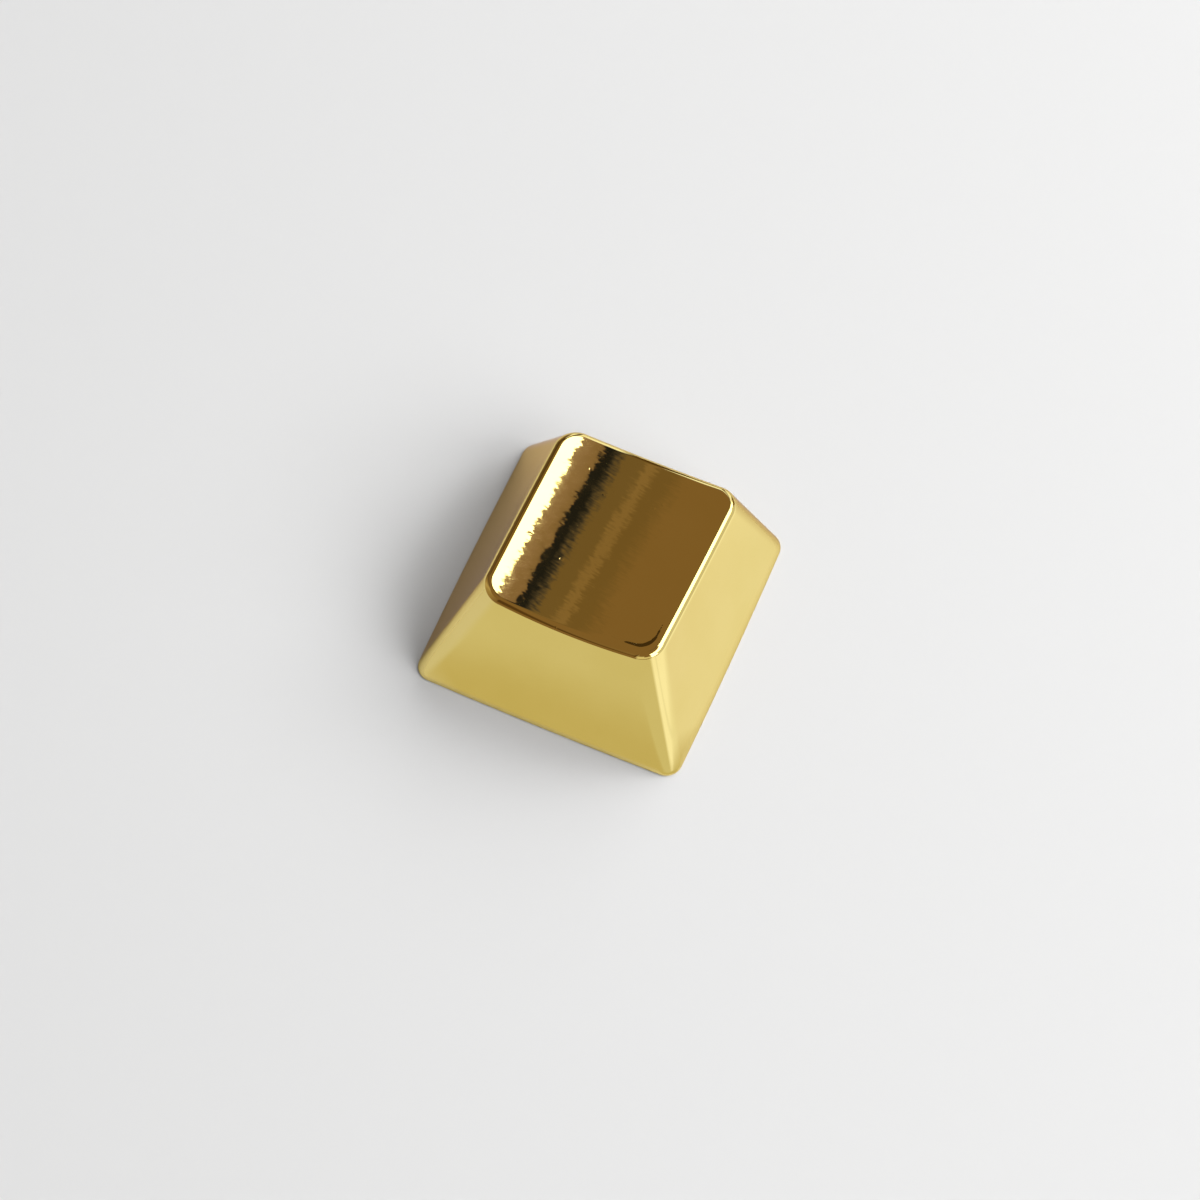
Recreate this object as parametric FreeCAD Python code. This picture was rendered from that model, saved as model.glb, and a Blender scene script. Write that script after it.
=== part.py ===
import FreeCAD, Part
import math
import os

# Keycap for one key of standard size, cast in metal as one piece and polished all over.
# Millimetres. The origin lies on the stem's axis in the plane of the bottom rim and +Z is up.
# The front of the cap, its high and most sloping side, faces -Y.

# Skirt: the outline of the bottom rim, measured across the bowed sides before its edge is eased
skirt_width = 18.28
skirt_depth = 18.28
skirt_bow = 0.1
skirt_corner = 1.09
skirt_edge = 0.1

# Crest: the outline that the four faces lean in to, on a plane that falls from front to back
crest_front_width = 11.98
crest_back_width = 12.12
crest_front_setback = 4.1
crest_back_setback = 0.64
crest_front_height = 7.62
crest_back_height = 5.57
crest_bow = 0.05
crest_corner = 1.63

# Finger dish: a shallow trough along the slope of the crest
dish_radius = 46.4
dish_depth = 0.37
rim_round = 0.495

# Hollow under the cap
side_wall = 1.2
top_wall = 1.1
hollow_corner = 0.8
ceiling_round = 0.5

# Stem with its socket for the cross of a key switch
stem_diameter = 5.5
stem_recess = 0.6
stem_root_round = 0.3
stem_chamfer = 0.25
cross_length = 4.1
cross_arm_across = 1.17
cross_arm_along = 1.31
cross_clearance = 0.03
socket_depth = 3.8
socket_chamfer = 0.2

# How far the faces run on past the crest and below the rim before they are trimmed,
# as shares of the way from the skirt to the crest
overrun = 0.15


def between(low, high, share):
    return low + (high - low) * share


def side_circle(start, end, bow):
    """Centre and radius of the arc from start to end that bows out to the right of its way."""
    way = end - start
    half = way.Length / 2
    radius = (half * half + bow * bow) / (2 * bow)
    inward = FreeCAD.Vector(-way.y, way.x, 0).normalize()
    return (start + end) * 0.5 + inward * (radius - bow), radius


def corner_centre(corner, first, second, radius):
    """Centre of the round of a corner, tangent from inside to the circles of both its sides."""
    centre_a, radius_a = first[0], first[1] - radius
    centre_b, radius_b = second[0], second[1] - radius
    line = centre_b - centre_a
    gap = line.Length
    along = (radius_a ** 2 - radius_b ** 2 + gap ** 2) / (2 * gap)
    rise = math.sqrt(radius_a ** 2 - along ** 2)
    line.normalize()
    square = FreeCAD.Vector(-line.y, line.x, 0)
    foot = centre_a + line * along
    options = [foot + square * rise, foot - square * rise]
    return min(options, key=lambda point: point.distanceToPoint(corner))


def arc_between(centre, radius, start, end):
    middle = ((start - centre) + (end - centre)).normalize()
    return Part.Arc(start, centre + middle * radius, end).toShape()


def bowed_outline(front_half, back_half, front, back, bow, corner_radius):
    """Four-sided outline in the XY plane with bowed sides and rounded corners."""
    corners = [
        FreeCAD.Vector(-front_half + bow, front + bow, 0),
        FreeCAD.Vector(front_half - bow, front + bow, 0),
        FreeCAD.Vector(back_half - bow, back - bow, 0),
        FreeCAD.Vector(-back_half + bow, back - bow, 0),
    ]
    count = len(corners)
    sides = [side_circle(corners[i], corners[(i + 1) % count], bow) for i in range(count)]
    edges = []
    rounds = []
    for i in range(count):
        rounds.append(corner_centre(corners[i], sides[i - 1], sides[i], corner_radius))
    for i in range(count):
        centre, radius = sides[i]
        after = (i + 1) % count
        start = centre + (rounds[i] - centre).normalize() * radius
        end = centre + (rounds[after] - centre).normalize() * radius
        next_centre, next_radius = sides[after]
        turn = next_centre + (rounds[after] - next_centre).normalize() * next_radius
        edges.append(arc_between(centre, radius, start, end))
        edges.append(arc_between(rounds[after], corner_radius, end, turn))
    return Part.Wire(edges)


def slope_at(share):
    """Placement of the sloping plane at a share of the way from the skirt to the crest."""
    front = between(-skirt_depth / 2, -skirt_depth / 2 + crest_front_setback, share)
    back = between(skirt_depth / 2, skirt_depth / 2 - crest_back_setback, share)
    fall = (crest_front_height - crest_back_height) * share
    tilt = math.atan2(fall, back - front)
    height = crest_front_height * share + front * math.tan(tilt)
    turn = FreeCAD.Rotation(FreeCAD.Vector(1, 0, 0), -math.degrees(tilt))
    return FreeCAD.Placement(FreeCAD.Vector(0, 0, height), turn)


def section(share, inset, corner_radius):
    """Outline of the cap at a share of the way from the skirt to the crest, drawn in by inset."""
    place = slope_at(share)
    front = between(-skirt_depth / 2, -skirt_depth / 2 + crest_front_setback, share) + inset
    back = between(skirt_depth / 2, skirt_depth / 2 - crest_back_setback, share) - inset
    front_half = between(skirt_width, crest_front_width, share) / 2 - inset
    back_half = between(skirt_width, crest_back_width, share) / 2 - inset
    bow = between(skirt_bow, crest_bow, share)
    lean = math.cos(place.Rotation.Angle)
    outline = bowed_outline(front_half, back_half, front / lean, back / lean, bow, corner_radius)
    outline.Placement = place
    return outline


def corner_at(share):
    return between(skirt_corner, crest_corner, share)


def flat_faces(shape):
    return [face for face in shape.Faces if isinstance(face.Surface, Part.Plane)]


def highest_flat(shape):
    return max(flat_faces(shape), key=lambda face: face.CenterOfMass.z)


def flat_at(shape, height):
    """The level flat face whose middle lies nearest to a height."""
    return min(flat_faces(shape), key=lambda face: abs(face.CenterOfMass.z - height))


def inner_edges(face):
    """Edges of the holes in a face."""
    holes = [wire for wire in face.Wires if not wire.isSame(face.OuterWire)]
    return [edge for wire in holes for edge in wire.Edges]


def box_on_axis(width, depth, bottom, height):
    return Part.makeBox(width, depth, height, FreeCAD.Vector(-width / 2, -depth / 2, bottom))


# Outer form: leaning faces above an eased bottom edge, trimmed by the dish, with a rounded rim
stock_top = 1 + overrun
edge_top = skirt_edge / crest_front_height
outer = Part.makeLoft(
    [
        section(0, skirt_edge, corner_at(0) - skirt_edge),
        section(edge_top, 0, corner_at(edge_top)),
        section(stock_top, 0, corner_at(stock_top)),
    ],
    True,
    True,
)
crest_place = slope_at(1)
crest_normal = crest_place.Rotation.multVec(FreeCAD.Vector(0, 0, 1))
crest_fall = crest_place.Rotation.multVec(FreeCAD.Vector(0, 1, 0))
dish_centre = crest_place.Base + crest_normal * (dish_radius - dish_depth)
dish_start = dish_centre - crest_fall * skirt_depth
dish = Part.makeCylinder(dish_radius, 2 * skirt_depth, dish_start, crest_fall)
outer = outer.cut(dish)
dish_face = next(face for face in outer.Faces if isinstance(face.Surface, Part.Cylinder))
outer = outer.makeFillet(rim_round, dish_face.Edges)

# Core of the hollow: the same lean one wall further in, under a ceiling one wall below the dish
core = Part.makeLoft(
    [section(-overrun, side_wall, hollow_corner), section(1, side_wall, hollow_corner)], True, True
)
ceiling_point = crest_place.Base - crest_normal * (dish_depth + top_wall)
below_ceiling = Part.makeCylinder(
    skirt_width + skirt_depth, 2 * crest_front_height, ceiling_point, crest_normal * -1
)
core = core.common(below_ceiling)
core = core.makeFillet(ceiling_round, highest_flat(core).Edges)

# Stem left standing in the hollow, with a rounded root
stem = Part.makeCylinder(
    stem_diameter / 2, crest_front_height, FreeCAD.Vector(0, 0, stem_recess)
)
hollow = core.cut(stem)
hollow = hollow.makeFillet(stem_root_round, inner_edges(highest_flat(hollow)))

# Socket: a cross that takes the arms of the switch, a little wider than they are
arm = cross_length + 2 * cross_clearance
across = cross_arm_across + 2 * cross_clearance
along = cross_arm_along + 2 * cross_clearance
socket = box_on_axis(arm, across, stem_recess, socket_depth)
socket = socket.fuse(box_on_axis(along, arm, stem_recess, socket_depth)).removeSplitter()

# The cap in one piece, with its edges eased where fingers and the switch meet it
cap = outer.cut(hollow).cut(socket)
stem_end = flat_at(cap, stem_recess)
cap = cap.makeChamfer(socket_chamfer, inner_edges(stem_end))
stem_end = flat_at(cap, stem_recess)
cap = cap.makeChamfer(stem_chamfer, stem_end.OuterWire.Edges)

os.makedirs("parts", exist_ok=True)
keycap = cap.Solids[0]
keycap.exportStep("parts/keycap.step")
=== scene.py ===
import math

import bpy
import numpy as np
from mathutils import Matrix, Vector


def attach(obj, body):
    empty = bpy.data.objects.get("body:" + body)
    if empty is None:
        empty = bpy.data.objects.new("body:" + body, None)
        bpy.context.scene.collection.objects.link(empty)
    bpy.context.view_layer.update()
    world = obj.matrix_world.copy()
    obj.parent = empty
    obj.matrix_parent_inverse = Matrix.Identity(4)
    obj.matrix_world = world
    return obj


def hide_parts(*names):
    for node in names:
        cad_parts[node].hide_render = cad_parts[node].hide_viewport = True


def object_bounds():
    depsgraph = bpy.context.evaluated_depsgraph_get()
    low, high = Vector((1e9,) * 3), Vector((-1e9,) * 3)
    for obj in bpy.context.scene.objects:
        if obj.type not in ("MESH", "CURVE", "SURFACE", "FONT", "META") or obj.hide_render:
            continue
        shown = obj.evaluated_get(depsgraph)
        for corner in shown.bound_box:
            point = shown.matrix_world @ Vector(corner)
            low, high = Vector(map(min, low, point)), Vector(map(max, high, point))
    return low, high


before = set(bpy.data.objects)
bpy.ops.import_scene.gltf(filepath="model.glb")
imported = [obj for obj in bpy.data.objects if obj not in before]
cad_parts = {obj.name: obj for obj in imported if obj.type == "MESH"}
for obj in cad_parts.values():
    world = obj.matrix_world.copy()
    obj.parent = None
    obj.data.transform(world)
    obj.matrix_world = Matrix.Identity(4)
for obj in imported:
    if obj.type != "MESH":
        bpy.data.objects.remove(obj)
cad_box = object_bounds()

MM = 0.001

# The cap's sizes in mm, as in the CAD source
SKIRT = 18.28
SKIRT_BOW = 0.1
SKIRT_CORNER = 1.09
CREST_FRONT_WIDTH = 11.98
CREST_BACK_WIDTH = 12.12
CREST_FRONT_SETBACK = 4.1
CREST_BACK_SETBACK = 0.64
CREST_FRONT_HEIGHT = 7.62
CREST_BACK_HEIGHT = 5.57
CREST_BOW = 0.05
CREST_CORNER = 1.63
DISH_RADIUS = 46.4
DISH_DEPTH = 0.37
RIM_ROUND = 0.495
SIDE_WALL = 1.2
TOP_WALL = 1.1
HOLLOW_CORNER = 0.8
CEILING_ROUND = 0.5
STEM_RADIUS = 2.75
STEM_RECESS = 0.6
STEM_ROOT_ROUND = 0.3
STEM_CHAMFER = 0.25
CROSS_HALF = 2.08
CROSS_HALF_ACROSS = 0.615
CROSS_HALF_ALONG = 0.685
SOCKET_DEPTH = 3.8
SOCKET_CHAMFER = 0.2
OVERRUN = 0.15

# The bottom edge is softer here than in the solid, in mm
EDGE_EASE = 0.2

# The dish is worn down a little inside its front right corner, up to a soft step: its depth in mm, how
# many columns of the mesh it spreads over, and where it sinks and climbs again on the way to the rim
WORN_DEPTH = 0.036
WORN_SPREAD = 21
WORN_SINKS = (0.5, 0.915)
WORN_CLIMBS = (0.92, 0.97)

# Mesh density: points along a side and round a corner, then the rings of each zone
SIDE_POINTS = 64
CORNER_POINTS = 24
DISH_SHARES = np.append(np.linspace(0.02, 0.80, 40), np.linspace(0.80, 1, 42)[1:-1])
RIM_STEPS = 14
SIDE_STEPS = 40
EDGE_STEPS = 6
FLAT_SHARES = (0.35, 0.7, 1)
WALL_STEPS = 12
CEILING_TURN_STEPS = 8
CEILING_STEPS = 6
ROOT_STEPS = 6
STEM_STEPS = 6
SOCKET_STEPS = 4
SOCKET_END_SHARES = (0.6, 0.2)
SHARP_ANGLE = 28
HALVINGS = 50

# Plating: its two tints, its tint at grazing angles, and its ripples as scale per metre, detail, stretch
# along x and height in metres. They are full in the dish and fade over its last rings to a share of that.
GOLD_DEEP = (0.81, 0.645, 0.225)
GOLD_PALE = (0.83, 0.665, 0.242)
GOLD_EDGE = (0.72, 0.57, 0.5)
RIPPLES = [(4000.0, 1.0, 3.5, 4.2e-6), (1000.0, 1.0, 1.0, 3.0e-6)]
SIDE_RIPPLE = 0.12
FADE_RINGS = 6

# Noise as scale per metre and detail, the part of its range in use, and what that part is spread over
TINT_NOISE = (260.0, 3.0)
TINT_SPREAD = (0.35, 0.65, 0.0, 1.0)
POLISH_NOISE = (900.0, 4.0)
POLISH_SPREAD = (0.3, 0.7, 0.02, 0.045)
PIT_NOISE = (2200.0, 0.0)
PIT_SPREAD = (0.10, 0.16, 0.0, 1.0)
PIT_DEPTH = 2.0e-6

# Floor paper: its own colour, and the glow that takes its place in the metal, by azimuth, near the cap and
# further away. That glow is painted reflection.
PAPER = (0.80, 0.80, 0.80)
PAPER_ROUGHNESS = 0.9
# Glow tones of painted reflection: grey to the left, painted shade in front, warm painted shade near the
# base, painted light and painted highlights to the right with a small dip between two highlights
LEFT_PAPER_GLOW = (0.76, 0.76, 0.76)
WARM_SHADE_GLOW = (0.66, 0.61, 0.40)
FRONT_SHADE_GLOW = (0.74, 0.725, 0.585)
RIGHT_LIGHT_GLOW = (1.01, 1.04, 1.10)
BRIGHT_HIGHLIGHT_GLOW = (1.17, 1.22, 1.38)
HIGHLIGHT_DIP_GLOW = (1.02, 1.06, 1.16)
NEAR_REFLECTION_GLOW = [
    (-180, WARM_SHADE_GLOW), (-150, WARM_SHADE_GLOW), (-135, LEFT_PAPER_GLOW), (20, LEFT_PAPER_GLOW),
    (50, RIGHT_LIGHT_GLOW), (116, RIGHT_LIGHT_GLOW), (132, WARM_SHADE_GLOW), (180, WARM_SHADE_GLOW),
]
FAR_REFLECTION_GLOW = [
    (-180, FRONT_SHADE_GLOW), (-160, FRONT_SHADE_GLOW), (-140, LEFT_PAPER_GLOW), (20, LEFT_PAPER_GLOW), (50, BRIGHT_HIGHLIGHT_GLOW),
    (110, BRIGHT_HIGHLIGHT_GLOW), (113, HIGHLIGHT_DIP_GLOW), (116, BRIGHT_HIGHLIGHT_GLOW), (124, BRIGHT_HIGHLIGHT_GLOW), (133, FRONT_SHADE_GLOW),
    (180, FRONT_SHADE_GLOW),
]

# Where that painted glow starts to the right of the cap and in front of it, and where near turns to far, in
# metres
TONES_RIGHT = (0.0092, 0.0100)
TONES_FRONT = (-0.0092, -0.0110)
NEAR_TO_FAR = (0.014, 0.032)

# The floor in metres: half its width, half the opening under the cap, and its height just below the rim.
# The cut is where the corners of both start, as a share of the half.
FLOOR_HALF = 2.0
FLOOR_OPENING = 0.0088
FLOOR_HEIGHT = -0.00001
FLOOR_CUT = 0.9

# The room's light on the floor, then the tones of the room and of the glowing cards that paint the
# reflections in the metal
AMBIENT = (0.03, 0.03, 0.03)
ROOM = (0.250, 0.155, 0.074)
DIM = (0.197, 0.128, 0.060)
STREAK = (0.276, 0.182, 0.096)
OLIVE = (0.190, 0.128, 0.064)
DULL = (0.113, 0.085, 0.066)
GREY = (0.058, 0.049, 0.049)
SHADE = (0.016, 0.016, 0.020)
ROSE = (0.269, 0.178, 0.123)
ROSE_PALE = (0.287, 0.193, 0.142)
ROSE_BRIGHT = (0.373, 0.262, 0.246)
BROWN = (0.155, 0.099, 0.059)
BROWN_WARM = (0.24, 0.155, 0.08)
BRONZE = (0.34, 0.24, 0.125)
BRONZE_PALE = (0.42, 0.32, 0.18)
BRONZE_BRIGHT = (0.55, 0.45, 0.30)
BRONZE_DIM = (0.36, 0.26, 0.145)
DUSK = (0.060, 0.036, 0.015)
DEEP = (0.111, 0.061, 0.022)
CREAM = (0.80, 0.75, 0.60)
WALL = (0.75, 0.75, 0.73)
WINDOW = (0.93, 0.97, 0.92)
WINDOW_STRENGTH = 4.0

# Azimuths at which the window starts and at which its lower edge steps up
WINDOW_LEFT = -2.3
WINDOW_TURN = 25

# Upright bands of painted reflection on the cards, as stops by azimuth
BACKDROP = [
    (-24.0, ROOM), (-20.5, ROOM), (-17.8, DIM), (-16.0, DIM), (-15.0, STREAK), (-14.1, STREAK),
    (-13.0, OLIVE), (-10.3, OLIVE), (-9.4, DULL), (-8.85, GREY), (-7.9, SHADE), (-6.3, SHADE),
    (-5.9, ROSE), (-4.9, ROSE_PALE), (WINDOW_LEFT, ROSE_BRIGHT),
]
# Painted highlights along the back rim, with a painted dark band between them
LOW_BACK = [
    (-23, ROOM), (-22, BRIGHT_HIGHLIGHT_GLOW), (-14.5, BRIGHT_HIGHLIGHT_GLOW), (-13.5, DEEP), (-8.8, DEEP),
    (-7.8, BRIGHT_HIGHLIGHT_GLOW), (8, BRIGHT_HIGHLIGHT_GLOW),
]
FAR_PAPER_GLOW = [stop for stop in FAR_REFLECTION_GLOW if stop[0] >= 110]
CREAM_WALL = [(150, CREAM), (177, CREAM), (188, ROOM)]
FRONT_WALL = [(184, CREAM), (187.5, DEEP), (194, DEEP), (198, ROOM)]
LEFT_SIDE = [
    (-162, BROWN_WARM), (-135, BRONZE), (-102, BRONZE_PALE), (-88, BRONZE_BRIGHT), (-76, BRONZE_DIM),
    (-62, BROWN), (-48, BROWN),
]
CARD_ROWS = 9
CARD_COLUMNS = 41

# Lamps: azimuth, elevation, width and height in metres, and watts
LAMP_DISTANCE = 0.8
LAMPS = {
    "back window": (5, 35, 0.465, 0.49, 1.75),
    "middle window": (45, 37, 0.465, 0.49, 4.35),
    "right window": (97, 34, 0.65, 0.49, 4.85),
    "ceiling": (0, 89.9, 0.6, 0.6, 0.75),
}

# Camera, as fitted to the photograph's outline of the cap: degrees, mm and pixels
CAMERA_AZIMUTH = 24.812
CAMERA_ELEVATION = 66.116
CAMERA_ROLL = -1.2
CAMERA_TARGET = (0.506, -1.162, 3.952)
CAMERA_DISTANCE = 217.4
CAMERA_CLIP = (0.005, 20)
FOCAL_PIXELS = 3483.9
FRAME_PIXELS = 1200
SENSOR = 36.0


def between(low, high, share):
    return low + (high - low) * share


def unit(vectors):
    return vectors / np.linalg.norm(vectors, axis=-1, keepdims=True)


def eased(value, low, high):
    share = min(max((value - low) / (high - low), 0.0), 1.0)
    return share * share * (3 - 2 * share)


def side_circle(start, end, bow):
    """Centre and radius of the arc from start to end that bows out to the right of its way."""
    way = end - start
    half = np.linalg.norm(way) / 2
    radius = (half * half + bow * bow) / (2 * bow)
    inward = unit(np.array([-way[1], way[0]]))
    return (start + end) / 2 + inward * (radius - bow), radius


def corner_centre(corner, first, second, radius):
    """Centre of the round of a corner, tangent from inside to the circles of both its sides."""
    centre_a, radius_a = first[0], first[1] - radius
    centre_b, radius_b = second[0], second[1] - radius
    line = centre_b - centre_a
    gap = np.linalg.norm(line)
    along = (radius_a ** 2 - radius_b ** 2 + gap ** 2) / (2 * gap)
    rise = math.sqrt(radius_a ** 2 - along ** 2)
    line = line / gap
    square = np.array([-line[1], line[0]])
    foot = centre_a + line * along
    options = [foot + square * rise, foot - square * rise]
    return min(options, key=lambda point: np.linalg.norm(point - corner))


def arc_points(centre, radius, start, end, count):
    """Points and unit tangents of an anticlockwise arc, without its end point."""
    first = math.atan2(start[1] - centre[1], start[0] - centre[0])
    last = math.atan2(end[1] - centre[1], end[0] - centre[0])
    sweep = (last - first + math.pi) % (2 * math.pi) - math.pi
    angles = first + sweep * np.arange(count) / count
    ring = np.stack([np.cos(angles), np.sin(angles)], 1)
    tangent = np.stack([-ring[:, 1], ring[:, 0]], 1) * math.copysign(1, sweep)
    return centre + radius * ring, tangent


def bowed_outline(front_half, back_half, front, back, bow, radius):
    """Points and tangents of a four-sided outline with bowed sides and rounded corners."""
    corners = [
        np.array([-front_half + bow, front + bow]),
        np.array([front_half - bow, front + bow]),
        np.array([back_half - bow, back - bow]),
        np.array([-back_half + bow, back - bow]),
    ]
    sides = [side_circle(corners[i], corners[(i + 1) % 4], bow) for i in range(4)]
    rounds = [corner_centre(corners[i], sides[i - 1], sides[i], radius) for i in range(4)]
    points, tangents = [], []
    for i in range(4):
        centre, big = sides[i]
        after = (i + 1) % 4
        start = centre + unit(rounds[i] - centre) * big
        end = centre + unit(rounds[after] - centre) * big
        next_centre, next_big = sides[after]
        turn = next_centre + unit(rounds[after] - next_centre) * next_big
        for arc in (
            arc_points(centre, big, start, end, SIDE_POINTS),
            arc_points(rounds[after], radius, end, turn, CORNER_POINTS),
        ):
            points.append(arc[0])
            tangents.append(arc[1])
    return np.concatenate(points), np.concatenate(tangents)


def slope_at(share):
    """Tilt and height of the sloping plane at a share of the way to the crest, and its front and back."""
    front = between(-SKIRT / 2, -SKIRT / 2 + CREST_FRONT_SETBACK, share)
    back = between(SKIRT / 2, SKIRT / 2 - CREST_BACK_SETBACK, share)
    tilt = math.atan2((CREST_FRONT_HEIGHT - CREST_BACK_HEIGHT) * share, back - front)
    return tilt, CREST_FRONT_HEIGHT * share + front * math.tan(tilt), front, back


def lift(flat, tilt, height):
    """From the sloping plane's own x and y to the frame."""
    y = flat[:, 1]
    return np.stack([flat[:, 0], y * math.cos(tilt), height - y * math.sin(tilt)], 1)


def section(share, inset, radius):
    """Points and tangents of the cap's outline at a share of the way to the crest, drawn in by inset."""
    tilt, height, front, back = slope_at(share)
    front_half = between(SKIRT, CREST_FRONT_WIDTH, share) / 2 - inset
    back_half = between(SKIRT, CREST_BACK_WIDTH, share) / 2 - inset
    bow = between(SKIRT_BOW, CREST_BOW, share)
    lean = math.cos(tilt)
    points, tangents = bowed_outline(
        front_half, back_half, (front + inset) / lean, (back - inset) / lean, bow, radius
    )
    return lift(points, tilt, height), lift(tangents, tilt, 0)


class Leaning:
    """The ruled face between two sections, with its outward normals."""

    def __init__(self, low_share, high_share, inset, low_radius, high_radius):
        self.low, self.low_way = section(low_share, inset, low_radius)
        self.high, self.high_way = section(high_share, inset, high_radius)

    def at(self, t):
        t = t[:, None]
        return self.low + (self.high - self.low) * t

    def normal(self, t):
        t = t[:, None]
        way = self.low_way * (1 - t) + self.high_way * t
        return unit(np.cross(way, self.high - self.low))


def solve(function, low, high, count):
    """The share at which a rising function passes zero, for every point of a ring."""
    low = np.full(count, low, float)
    high = np.full(count, high, float)
    for _ in range(HALVINGS):
        middle = (low + high) / 2
        rising = function(middle) > 0
        high = np.where(rising, middle, high)
        low = np.where(rising, low, middle)
    return (low + high) / 2


def arc_rings(centre, radius, first, last, steps):
    """Rings that turn from one normal to another round the ball's centre."""
    angle = np.arccos(np.clip((first * last).sum(1), -1, 1))[:, None]
    rings = []
    for k in range(steps + 1):
        share = k / steps
        way = (np.sin((1 - share) * angle) * first + np.sin(share * angle) * last) / np.sin(angle)
        rings.append(centre + radius * way)
    return rings


def crest_plane():
    """A point on the sloping plane of the crest, its normal and the way it falls."""
    tilt, height, _, _ = slope_at(1)
    normal = np.array([0, math.sin(tilt), math.cos(tilt)])
    fall = np.array([0, math.cos(tilt), -math.sin(tilt)])
    return np.array([0, 0, height]), normal, fall


def dish_axis():
    """A point on the axis of the trough, which lies along the fall of the crest."""
    crest, normal, _ = crest_plane()
    return crest + normal * (DISH_RADIUS - DISH_DEPTH)


def ceiling_point():
    crest, normal, _ = crest_plane()
    return crest - normal * (DISH_DEPTH + TOP_WALL)


def rim_rings(outer):
    """Rings over the rounded rim, from the dish out to the sides, and how high each column joins its side."""
    axis_point = dish_axis()
    fall = crest_plane()[2]

    def to_axis(points):
        away = axis_point - points
        return away - (away @ fall)[:, None] * fall

    def rim_gap(t):
        centre = outer.at(t) - RIM_ROUND * outer.normal(t)
        return DISH_RADIUS + RIM_ROUND - np.linalg.norm(to_axis(centre), axis=1)

    rim_share = solve(rim_gap, 0.4, 1.0, len(outer.low))
    centre = outer.at(rim_share) - RIM_ROUND * outer.normal(rim_share)
    up = unit(to_axis(centre))
    return arc_rings(centre, RIM_ROUND, up, outer.normal(rim_share), RIM_STEPS), rim_share


def near_worn_corner(count):
    """One at the middle of the front right corner's columns, fading to nothing along the sides."""
    away = np.abs(np.arange(count) - SIDE_POINTS - CORNER_POINTS / 2)
    return np.exp(-((np.minimum(away, count - away) / WORN_SPREAD) ** 2))


def dish_rings(rim_edge):
    """Rings from the middle of the dish to its rim. They stay on the trough, or sink where it is worn."""
    axis_point = dish_axis()
    _, normal, fall = crest_plane()
    edge = rim_edge - axis_point
    edge_x, edge_y = edge[:, 0], edge @ fall
    middle_y = (edge_y.max() + edge_y.min()) / 2
    worn = WORN_DEPTH * near_worn_corner(len(edge))
    rings = []
    for share in DISH_SHARES:
        x = edge_x * share
        y = middle_y + (edge_y - middle_y) * share
        sink = worn * (eased(share, *WORN_SINKS) - eased(share, *WORN_CLIMBS))
        drop = np.sqrt(DISH_RADIUS ** 2 - x ** 2) + sink
        rings.append(axis_point + np.outer(y, fall) - np.outer(drop, normal) + np.outer(x, [1, 0, 0]))
    return rings


def side_rings(outer, rim_share):
    """Rings down the sides and round the eased bottom edge."""
    edge_share = EDGE_EASE / np.linalg.norm(outer.high - outer.low, axis=1)
    way = edge_share - rim_share
    rings = [outer.at(rim_share + way * k / SIDE_STEPS) for k in range(1, SIDE_STEPS + 1)]
    start = rings[-1]
    end = section(0, EDGE_EASE, SKIRT_CORNER - EDGE_EASE)[0]
    for k in range(1, EDGE_STEPS + 1):
        s = k / EDGE_STEPS
        rings.append(start * (1 - s) ** 2 + outer.low * 2 * s * (1 - s) + end * s * s)
    return rings


def hollow_rings(edge):
    """Rings from the bottom edge over the flat rim, up the walls of the hollow and round to its ceiling."""
    count = len(edge)
    ceiling = ceiling_point()
    normal = crest_plane()[1]
    inner = Leaning(-OVERRUN, 1, SIDE_WALL, HOLLOW_CORNER, HOLLOW_CORNER)

    def ceiling_gap(t):
        centre = inner.at(t) - CEILING_ROUND * inner.normal(t)
        return (centre - ceiling) @ normal + CEILING_ROUND

    mouth_share = solve(lambda t: inner.at(t)[:, 2], -0.2, 1.0, count)
    wall_share = solve(ceiling_gap, 0.2, 1.2, count)
    way = wall_share - mouth_share
    mouth = inner.at(mouth_share)
    rings = [between(edge, mouth, share) for share in FLAT_SHARES]
    rings += [inner.at(mouth_share + way * k / WALL_STEPS) for k in range(1, WALL_STEPS)]
    centre = inner.at(wall_share) - CEILING_ROUND * inner.normal(wall_share)
    upward = np.tile(normal, (count, 1))
    return rings + arc_rings(centre, CEILING_ROUND, inner.normal(wall_share), upward, CEILING_TURN_STEPS)


def stem_rays(ring):
    """Level unit rays from the stem's axis to a ring's columns, moved so that one meets each cross corner."""
    angles = np.unwrap(np.arctan2(ring[:, 1], ring[:, 0]))
    corners = []
    for x, y in (
        (CROSS_HALF, CROSS_HALF_ACROSS),
        (CROSS_HALF_ALONG, CROSS_HALF_ACROSS),
        (CROSS_HALF_ALONG, CROSS_HALF),
    ):
        for sx, sy in ((1, 1), (-1, 1), (-1, -1), (1, -1)):
            corners.append(math.atan2(sy * y, sx * x))
    taken = set()
    for corner in corners:
        off = np.abs((angles - corner + math.pi) % (2 * math.pi) - math.pi)
        for i in np.argsort(off):
            if i not in taken:
                taken.add(i)
                angles[i] += (corner - angles[i] + math.pi) % (2 * math.pi) - math.pi
                break
    return np.stack([np.cos(angles), np.sin(angles), np.zeros(len(ring))], 1)


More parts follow.
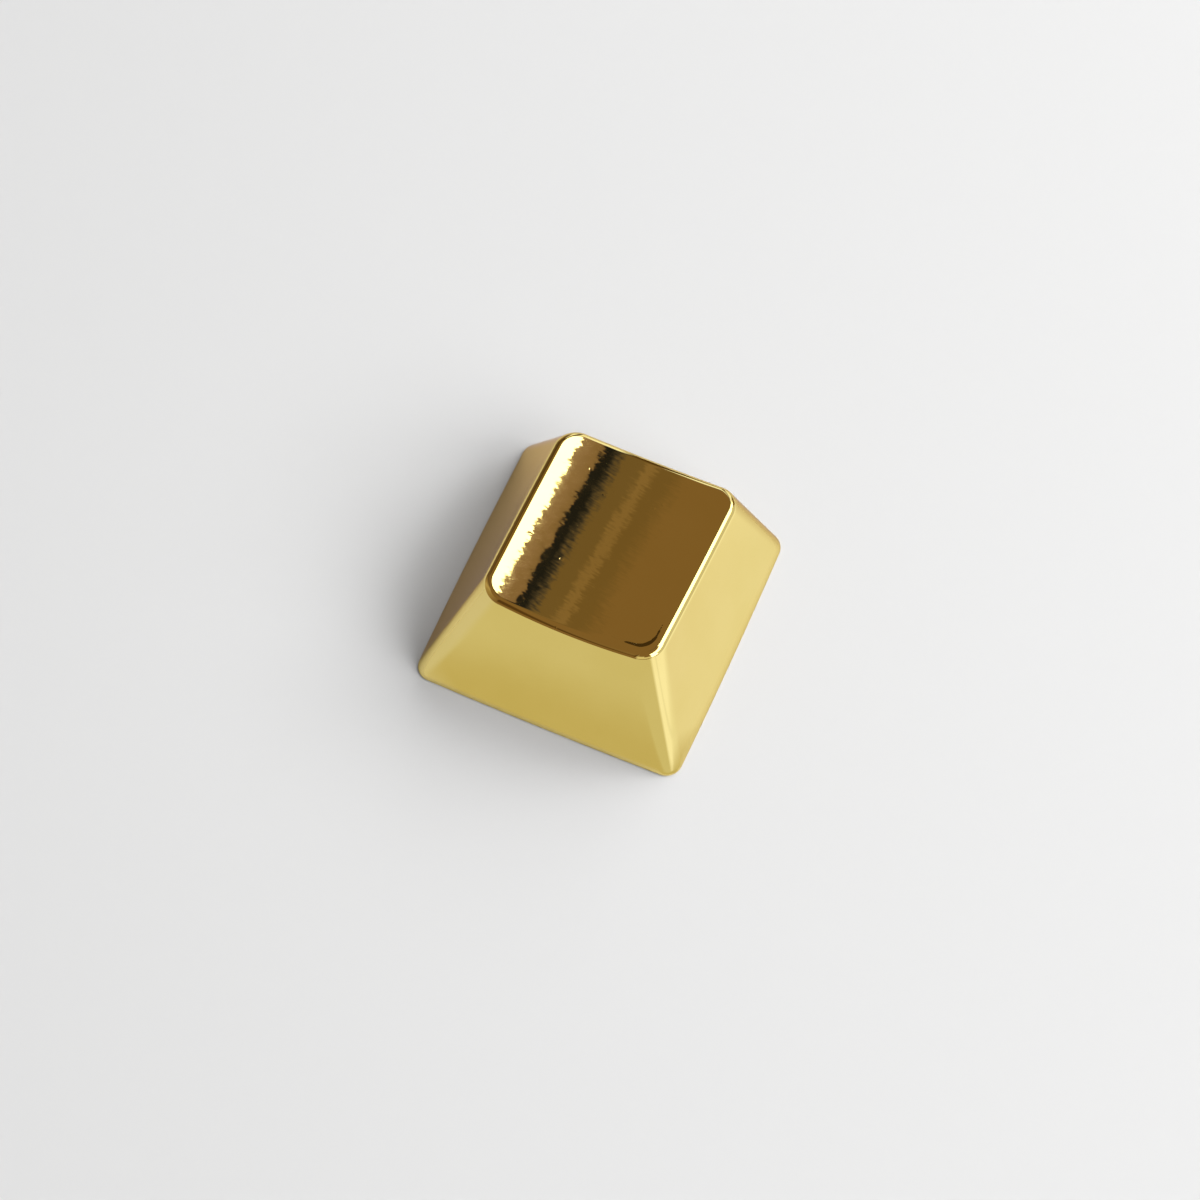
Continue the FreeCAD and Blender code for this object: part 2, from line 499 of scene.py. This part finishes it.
def stem_rings(ceiling_edge):
    """Rings from the ceiling's edge in to the stem, down it and up into its socket."""
    tilt = slope_at(1)[0]
    normal = crest_plane()[1]
    ray = stem_rays(ceiling_edge)

    def level(radius, z):
        return ray * np.reshape(radius, (-1, 1)) + np.array([0, 0, z])

    def cross(grow):
        cos, sin = np.abs(ray[:, 0]) + 1e-9, np.abs(ray[:, 1]) + 1e-9
        wide = np.minimum((CROSS_HALF + grow) / cos, (CROSS_HALF_ACROSS + grow) / sin)
        tall = np.minimum((CROSS_HALF_ALONG + grow) / cos, (CROSS_HALF + grow) / sin)
        return np.maximum(wide, tall)

    root = ray * (STEM_RADIUS + STEM_ROOT_ROUND)
    root_z = ceiling_point()[2] - math.tan(tilt) * root[:, 1] - STEM_ROOT_ROUND / math.cos(tilt)
    root_centre = root + np.outer(root_z, [0, 0, 1])
    upward = np.tile(normal, (len(ray), 1))
    root_turn = arc_rings(root_centre, STEM_ROOT_ROUND, upward, -ray, ROOT_STEPS)
    stem_low = level(STEM_RADIUS, STEM_RECESS + STEM_CHAMFER)
    socket_low = level(cross(0), STEM_RECESS + SOCKET_CHAMFER)
    socket_top = level(cross(0), STEM_RECESS + SOCKET_DEPTH)

    rings = [between(ceiling_edge, root_turn[0], k / CEILING_STEPS) for k in range(1, CEILING_STEPS)]
    rings += root_turn
    rings += [between(root_turn[-1], stem_low, k / STEM_STEPS) for k in range(1, STEM_STEPS + 1)]
    rings.append(level(STEM_RADIUS - STEM_CHAMFER, STEM_RECESS))
    rings.append(level(cross(SOCKET_CHAMFER), STEM_RECESS))
    rings += [between(socket_low, socket_top, k / SOCKET_STEPS) for k in range(SOCKET_STEPS + 1)]
    rings += [level(cross(0) * share, STEM_RECESS + SOCKET_DEPTH) for share in SOCKET_END_SHARES]
    return rings


def cap_rings():
    """All rings of the cap's skin, from the dish to the end of the socket, and how many the dish has."""
    top = 1 + OVERRUN
    outer = Leaning(0, top, 0, SKIRT_CORNER, between(SKIRT_CORNER, CREST_CORNER, top))
    rim, rim_share = rim_rings(outer)
    dish = dish_rings(rim[0])
    sides = side_rings(outer, rim_share)
    hollow = hollow_rings(sides[-1])
    stem = stem_rings(hollow[-1])
    return dish + rim + sides + hollow + stem, len(dish)


def add_object(name, data):
    made = bpy.data.objects.new(name, data)
    bpy.context.scene.collection.objects.link(made)
    return made


def skin(name, rings, dish_count):
    """One closed mesh from rings that all have the same number of points. The first rings are the dish."""
    count = len(rings[0])
    points = np.concatenate(rings)
    first = rings[0].mean(0)
    last = rings[-1].mean(0)
    vertices = (np.vstack([points, first, last]) * MM).clip(*cad_box)
    faces = []
    for r in range(len(rings) - 1):
        for i in range(count):
            j = (i + 1) % count
            a, b = r * count, (r + 1) * count
            faces.append((a + i, b + i, b + j, a + j))
    top, bottom = len(points), len(points) + 1
    end = (len(rings) - 1) * count
    for i in range(count):
        j = (i + 1) % count
        faces.append((top, i, j))
        faces.append((bottom, end + j, end + i))
    mesh = bpy.data.meshes.new(name)
    mesh.from_pydata(vertices.tolist(), [], faces)
    mesh.validate()
    mesh.polygons.foreach_set("use_smooth", [True] * len(mesh.polygons))
    mesh.set_sharp_from_angle(angle=math.radians(SHARP_ANGLE))
    ripple = np.full(len(vertices), SIDE_RIPPLE)
    ripple[: dish_count * count] = 1.0
    fade = np.linspace(1.0, SIDE_RIPPLE, FADE_RINGS)
    ripple[(dish_count - FADE_RINGS) * count : dish_count * count] = np.repeat(fade, count)
    ripple[top] = 1.0
    mesh.attributes.new("ripple", "FLOAT", "POINT").data.foreach_set("value", ripple)
    return add_object(name, mesh)


def node(tree, kind, **inputs):
    made = tree.nodes.new(kind)
    for name, value in inputs.items():
        made.inputs[name.replace("_", " ")].default_value = value
    return made


def math_node(tree, operation, first, second):
    """The result of an operation on two values, each of them a socket or a number."""
    made = tree.nodes.new("ShaderNodeMath")
    made.operation = operation
    for socket, value in zip(made.inputs, (first, second)):
        if isinstance(value, float):
            socket.default_value = value
        else:
            tree.links.new(value, socket)
    return made.outputs[0]


def mix_shaders(tree, share, first, second):
    made = tree.nodes.new("ShaderNodeMixShader")
    tree.links.new(share, made.inputs["Fac"])
    tree.links.new(first, made.inputs[1])
    tree.links.new(second, made.inputs[2])
    return made.outputs[0]


def new_material(name):
    made = bpy.data.materials.new(name)
    made.use_nodes = True
    return made, made.node_tree


def gold():
    """Polished plating with fine ripples, a slow waviness and a few pits."""
    material, tree = new_material("plated gold")
    links = tree.links
    shader = tree.nodes["Principled BSDF"]
    shader.inputs["Metallic"].default_value = 1.0
    shader.inputs["Specular Tint"].default_value = (*GOLD_EDGE, 1)
    place = tree.nodes.new("ShaderNodeTexCoord").outputs["Object"]

    def noise(scale, detail, stretch=1.0):
        drawn = node(tree, "ShaderNodeMapping", Scale=(1 / stretch, 1, 1))
        links.new(place, drawn.inputs["Vector"])
        made = node(tree, "ShaderNodeTexNoise", Scale=scale, Detail=detail, Roughness=0.5)
        links.new(drawn.outputs["Vector"], made.inputs["Vector"])
        return made.outputs["Fac"]

    def spread(source, low, high, out_low, out_high):
        made = node(
            tree, "ShaderNodeMapRange", From_Min=low, From_Max=high, To_Min=out_low, To_Max=out_high
        )
        links.new(source, made.inputs["Value"])
        return made.outputs["Result"]

    tint = node(tree, "ShaderNodeMix")
    tint.data_type = "RGBA"
    tint.inputs["A"].default_value = (*GOLD_DEEP, 1)
    tint.inputs["B"].default_value = (*GOLD_PALE, 1)
    links.new(spread(noise(*TINT_NOISE), *TINT_SPREAD), tint.inputs["Factor"])
    links.new(tint.outputs["Result"], shader.inputs["Base Color"])
    links.new(spread(noise(*POLISH_NOISE), *POLISH_SPREAD), shader.inputs["Roughness"])

    ripple = tree.nodes.new("ShaderNodeAttribute")
    ripple.attribute_name = "ripple"
    normal = None
    for scale, detail, stretch, distance in RIPPLES:
        bump = node(tree, "ShaderNodeBump", Distance=distance)
        links.new(ripple.outputs["Fac"], bump.inputs["Strength"])
        links.new(noise(scale, detail, stretch), bump.inputs["Height"])
        if normal:
            links.new(normal, bump.inputs["Normal"])
        normal = bump.outputs["Normal"]
    pits = node(tree, "ShaderNodeBump", Strength=1.0, Distance=PIT_DEPTH)
    links.new(spread(noise(*PIT_NOISE), *PIT_SPREAD), pits.inputs["Height"])
    links.new(normal, pits.inputs["Normal"])
    links.new(pits.outputs["Normal"], shader.inputs["Normal"])
    return material


def tone_ramp(tree, share, stops):
    """Colour by a share from 0 to 1. The stops pair an azimuth with a colour, from share 0 to share 1."""
    ramp = tree.nodes.new("ShaderNodeValToRGB")
    elements = ramp.color_ramp.elements
    first, last = stops[0][0], stops[-1][0]
    for k, (azimuth, colour) in enumerate(stops):
        place = (azimuth - first) / (last - first)
        element = elements[k] if k < 2 else elements.new(place)
        element.position = place
        element.color = (*colour, 1)
    tree.links.new(share, ramp.inputs["Fac"])
    return ramp.outputs["Color"]


def paper():
    """Matt white paper, clear from below. Beside the cap, glossy rays see a glow in its place, in tones by
    azimuth: painted reflection in the cap's sides.
    """
    material, tree = new_material("floor paper")
    links = tree.links
    shader = tree.nodes["Principled BSDF"]
    shader.inputs["Base Color"].default_value = (*PAPER, 1)
    shader.inputs["Roughness"].default_value = PAPER_ROUGHNESS
    place = tree.nodes.new("ShaderNodeTexCoord").outputs["Object"]
    split = tree.nodes.new("ShaderNodeSeparateXYZ")
    links.new(place, split.inputs[0])
    across, along = split.outputs["X"], split.outputs["Y"]
    azimuth = math_node(tree, "ARCTAN2", across, along)
    share = node(tree, "ShaderNodeMapRange", From_Min=-math.pi, From_Max=math.pi)
    links.new(azimuth, share.inputs["Value"])
    reach = tree.nodes.new("ShaderNodeVectorMath")
    reach.operation = "LENGTH"
    links.new(place, reach.inputs[0])

    def ease(value, near, far):
        made = node(tree, "ShaderNodeMapRange", From_Min=near, From_Max=far)
        made.interpolation_type = "SMOOTHSTEP"
        links.new(value, made.inputs["Value"])
        return made.outputs["Result"]

    tones = node(tree, "ShaderNodeMix")
    tones.data_type = "RGBA"
    links.new(ease(reach.outputs["Value"], *NEAR_TO_FAR), tones.inputs["Factor"])
    links.new(tone_ramp(tree, share.outputs["Result"], NEAR_REFLECTION_GLOW), tones.inputs["A"])
    links.new(tone_ramp(tree, share.outputs["Result"], FAR_REFLECTION_GLOW), tones.inputs["B"])
    # Painted reflection: a glow that takes the paper's place for glossy rays beside the cap
    light = tree.nodes.new("ShaderNodeEmission")
    links.new(tones.outputs["Result"], light.inputs["Color"])
    beside = math_node(tree, "MAXIMUM", ease(across, *TONES_RIGHT), ease(along, *TONES_FRONT))
    glossy = tree.nodes.new("ShaderNodeLightPath").outputs["Is Glossy Ray"]
    in_metal = math_node(tree, "MULTIPLY", glossy, beside)
    above = mix_shaders(tree, in_metal, shader.outputs[0], light.outputs[0])
    from_below = tree.nodes.new("ShaderNodeNewGeometry").outputs["Backfacing"]
    clear = tree.nodes.new("ShaderNodeBsdfTransparent").outputs[0]
    both = mix_shaders(tree, from_below, above, clear)
    links.new(both, tree.nodes["Material Output"].inputs["Surface"])
    return material


def glow(name, colour, strength=1.0):
    """A plain glow, left out of light that has already met the floor."""
    material, tree = new_material(name)
    tree.nodes.remove(tree.nodes["Principled BSDF"])
    light = node(tree, "ShaderNodeEmission", Color=(*colour, 1))
    bounces = tree.nodes.new("ShaderNodeLightPath").outputs["Diffuse Depth"]
    direct = math_node(tree, "LESS_THAN", bounces, 0.5)
    tree.links.new(math_node(tree, "MULTIPLY", direct, strength), light.inputs["Strength"])
    tree.links.new(light.outputs[0], tree.nodes["Material Output"].inputs["Surface"])
    return material


def bands(name, stops):
    """Glow in upright bands: pairs of an azimuth and a colour, from the first azimuth to the last."""
    material = glow(name, (1, 1, 1))
    tree = material.node_tree
    share = tree.nodes.new("ShaderNodeAttribute")
    share.attribute_name = "share"
    colour = tone_ramp(tree, share.outputs["Fac"], stops)
    tree.links.new(colour, tree.nodes["Emission"].inputs["Color"])
    return material


def open_sheet(name, half, opening, height, material):
    """A level sheet with an opening in its middle, both of them squares with cut corners."""
    cut = FLOOR_CUT
    corners = [(cut, -1), (1, -cut), (1, cut), (cut, 1), (-cut, 1), (-1, cut), (-1, -cut), (-cut, -1)]
    points = [(x * reach, y * reach, height) for reach in (half, opening) for x, y in corners]
    count = len(corners)
    faces = [(i, (i + 1) % count, (i + 1) % count + count, i + count) for i in range(count)]
    mesh = bpy.data.meshes.new(name)
    mesh.from_pydata(points, [], faces)
    mesh.materials.append(material)
    return add_object(name, mesh)


def toward(azimuth, elevation, distance):
    """A point seen from the cap: azimuth from the back (+Y) round to the right (+X), in degrees."""
    a, e = math.radians(azimuth), math.radians(elevation)
    return Vector((math.sin(a) * math.cos(e), math.cos(a) * math.cos(e), math.sin(e))) * distance


def shell(name, low, high, left, right, distance, material):
    """A curved card seen only in the metal, from one elevation and azimuth to another."""
    points, shares = [], []
    for i in range(CARD_ROWS):
        elevation = between(low, high, i / (CARD_ROWS - 1))
        for j in range(CARD_COLUMNS):
            share = j / (CARD_COLUMNS - 1)
            points.append(toward(between(left, right, share), elevation, distance))
            shares.append(share)
    faces = []
    for i in range(CARD_ROWS - 1):
        for j in range(CARD_COLUMNS - 1):
            a = i * CARD_COLUMNS + j
            faces.append((a, a + 1, a + CARD_COLUMNS + 1, a + CARD_COLUMNS))
    mesh = bpy.data.meshes.new(name)
    mesh.from_pydata(points, [], faces)
    mesh.attributes.new("share", "FLOAT", "POINT").data.foreach_set("value", shares)
    mesh.materials.append(material)
    made = add_object(name, mesh)
    made.visible_camera = False
    made.visible_diffuse = False
    made.visible_shadow = False
    return made


def lamp(name, azimuth, elevation, width, height, watts):
    """A soft lamp that faces the cap. The cards stand for it in the metal."""
    light = bpy.data.lights.new(name, "AREA")
    light.shape = "RECTANGLE"
    light.size = width
    light.size_y = height
    light.energy = watts
    made = add_object(name, light)
    made.location = toward(azimuth, elevation, LAMP_DISTANCE)
    made.rotation_euler = (made.location * -1).to_track_quat("-Z", "Y").to_euler()
    made.visible_glossy = False


def add_room():
    """The room round the stage: dim for the floor, brown in the metal and pale behind the cap."""
    world = bpy.data.worlds.new("world")
    bpy.context.scene.world = world
    world.use_nodes = True
    tree = world.node_tree
    path = tree.nodes.new("ShaderNodeLightPath")
    colour = None
    for ray, tone in (("Is Glossy Ray", ROOM), ("Is Camera Ray", PAPER)):
        mix = node(tree, "ShaderNodeMix")
        mix.data_type = "RGBA"
        mix.inputs["A"].default_value = (*AMBIENT, 1)
        mix.inputs["B"].default_value = (*tone, 1)
        tree.links.new(path.outputs[ray], mix.inputs["Factor"])
        if colour:
            tree.links.new(colour, mix.inputs["A"])
        colour = mix.outputs["Result"]
    tree.links.new(colour, tree.nodes["Background"].inputs["Color"])


def add_camera():
    a, e, r = (math.radians(v) for v in (CAMERA_AZIMUTH, CAMERA_ELEVATION, CAMERA_ROLL))
    back = Vector((math.sin(a) * math.cos(e), -math.cos(a) * math.cos(e), math.sin(e)))
    right = Vector((math.cos(a), math.sin(a), 0))
    up = back.cross(right)
    turned_right = right * math.cos(r) + up * math.sin(r)
    turned_up = up * math.cos(r) - right * math.sin(r)
    lens = bpy.data.cameras.new("camera")
    lens.sensor_fit = "HORIZONTAL"
    lens.sensor_width = SENSOR
    lens.lens = FOCAL_PIXELS / FRAME_PIXELS * SENSOR
    lens.clip_start, lens.clip_end = CAMERA_CLIP
    camera = add_object("camera", lens)
    place = Matrix((turned_right, turned_up, back)).transposed().to_4x4()
    place.translation = (Vector(CAMERA_TARGET) + back * CAMERA_DISTANCE) * MM
    camera.matrix_world = place
    bpy.context.scene.camera = camera


cap = skin("keycap_skin", *cap_rings())
cap.data.materials.append(gold())
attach(cap, "root")
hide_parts("keycap")

# Stage. The floor is open under the hollow, so that the underside shows from below.
floor = open_sheet("floor", FLOOR_HALF, FLOOR_OPENING, FLOOR_HEIGHT, paper())

# Cards that paint reflections in the metal, painted highlights and painted dark bands among them: elevation
# from and to, azimuth from and to, distance in metres and glow
window = glow("window card", WINDOW, WINDOW_STRENGTH)
CARDS = {
    "backdrop": (39, 70, -24, WINDOW_LEFT, 0.90, bands("backdrop", BACKDROP)),
    "low back": (3, 39, -23, 8, 0.92, bands("low back", LOW_BACK)),
    "window left": (27, 60, WINDOW_LEFT, WINDOW_TURN, 0.95, window),
    "window right": (36, 60, WINDOW_TURN, 120, 0.95, window),
    "low window": (12, 34, 98, 124, 0.98, window),
    "right wall": (0, 36, 30, 98, 1.0, glow("right wall", WALL)),
    "far paper glow": (0, 5, 110, 180, 0.97, bands("far paper glow", FAR_PAPER_GLOW)),
    "cream corner": (11, 34, 124, 150, 0.99, glow("cream", CREAM)),
    "cream wall": (11, 46, 150, 188, 0.99, bands("cream wall", CREAM_WALL)),
    "front wall": (31, 70, 184, 198, 1.0, bands("front wall", FRONT_WALL)),
    "left side": (0, 60, -162, -48, 1.0, bands("left side", LEFT_SIDE)),
    "left end": (24, 39.5, -48, -20, 0.88, glow("left end", DUSK)),
    "under": (-80, -30, 20, 200, 1.0, glow("under", CREAM)),
}
[shell(name, *card) for name, card in CARDS.items()]

for lamp_name, values in LAMPS.items():
    lamp(lamp_name, *values)
add_room()
add_camera()
bpy.context.scene.view_settings.view_transform = "Standard"
